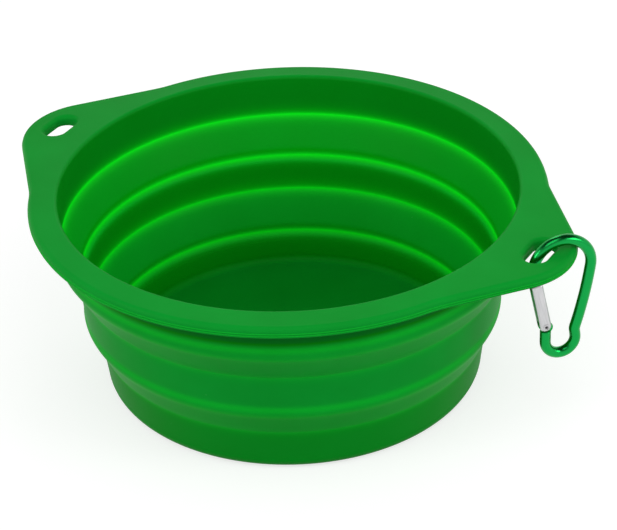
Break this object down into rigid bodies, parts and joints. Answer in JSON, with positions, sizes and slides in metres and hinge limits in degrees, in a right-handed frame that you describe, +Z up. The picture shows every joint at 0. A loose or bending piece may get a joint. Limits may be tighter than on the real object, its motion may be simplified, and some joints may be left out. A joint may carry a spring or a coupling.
{
  "type": "collapsible travel pet bowl",
  "caption": "Round silicone bowl whose stepped wall folds flat, with a wide rim, slotted ears and a small spring-gate carabiner for hanging it on a bag.",
  "frame": {"origin": "centre of the bowl's flat underside, on the surface that it stands on", "axes": "+Z up along the bowl's axis, +X through the ears towards the one that carries the carabiner"},
  "size_m": [0.2186, 0.1808, 0.0781],
  "materials": {
    "green_silicone": "satin moulded silicone rubber, slightly translucent where it is thin",
    "green_anodised": "bright green anodised aluminium rod",
    "bare_aluminium": "satin bare aluminium with a fine lengthwise grain",
    "spring_steel": "drawn steel wire and pin"
  },
  "bodies": {
    "base": {"base_cup": "green_silicone", "lower_fold_band": "green_silicone"},
    "middle": {"middle_ring": "green_silicone", "upper_fold_band": "green_silicone"},
    "rim": {"rim_ring": "green_silicone"},
    "carabiner": {"carabiner_frame": "green_anodised"},
    "gate": {"gate": "bare_aluminium", "gate_rivet": "bare_aluminium", "gate_spring": "spring_steel", "gate_plunger": "spring_steel"}
  },
  "joints": [
    {"name": "lower_fold", "type": "slide", "parent": "base", "child": "middle", "axis": [0, 0, -1], "range_m": [0, 0.0286], "deforming": ["lower_fold_band"]},
    {"name": "upper_fold", "type": "slide", "parent": "middle", "child": "rim", "axis": [0, 0, -1], "range_m": [0, 0.0284], "deforming": ["upper_fold_band"]},
    {"name": "carabiner_swing", "type": "hinge", "parent": "rim", "child": "carabiner", "pos_m": [0.10234, 0.00474, 0.06602], "axis": [0.7193, -0.6947, 0], "range_deg": [-45, 90]},
    {"name": "gate_hinge", "type": "hinge", "parent": "carabiner", "child": "gate", "pos_m": [0.09827, 0.00053, 0.04402], "axis": [-0.7193, 0.6947, 0], "range_deg": [0, 35], "stiffness_Nm_per_rad": 0.02, "springref_deg": -34.38}
  ]
}
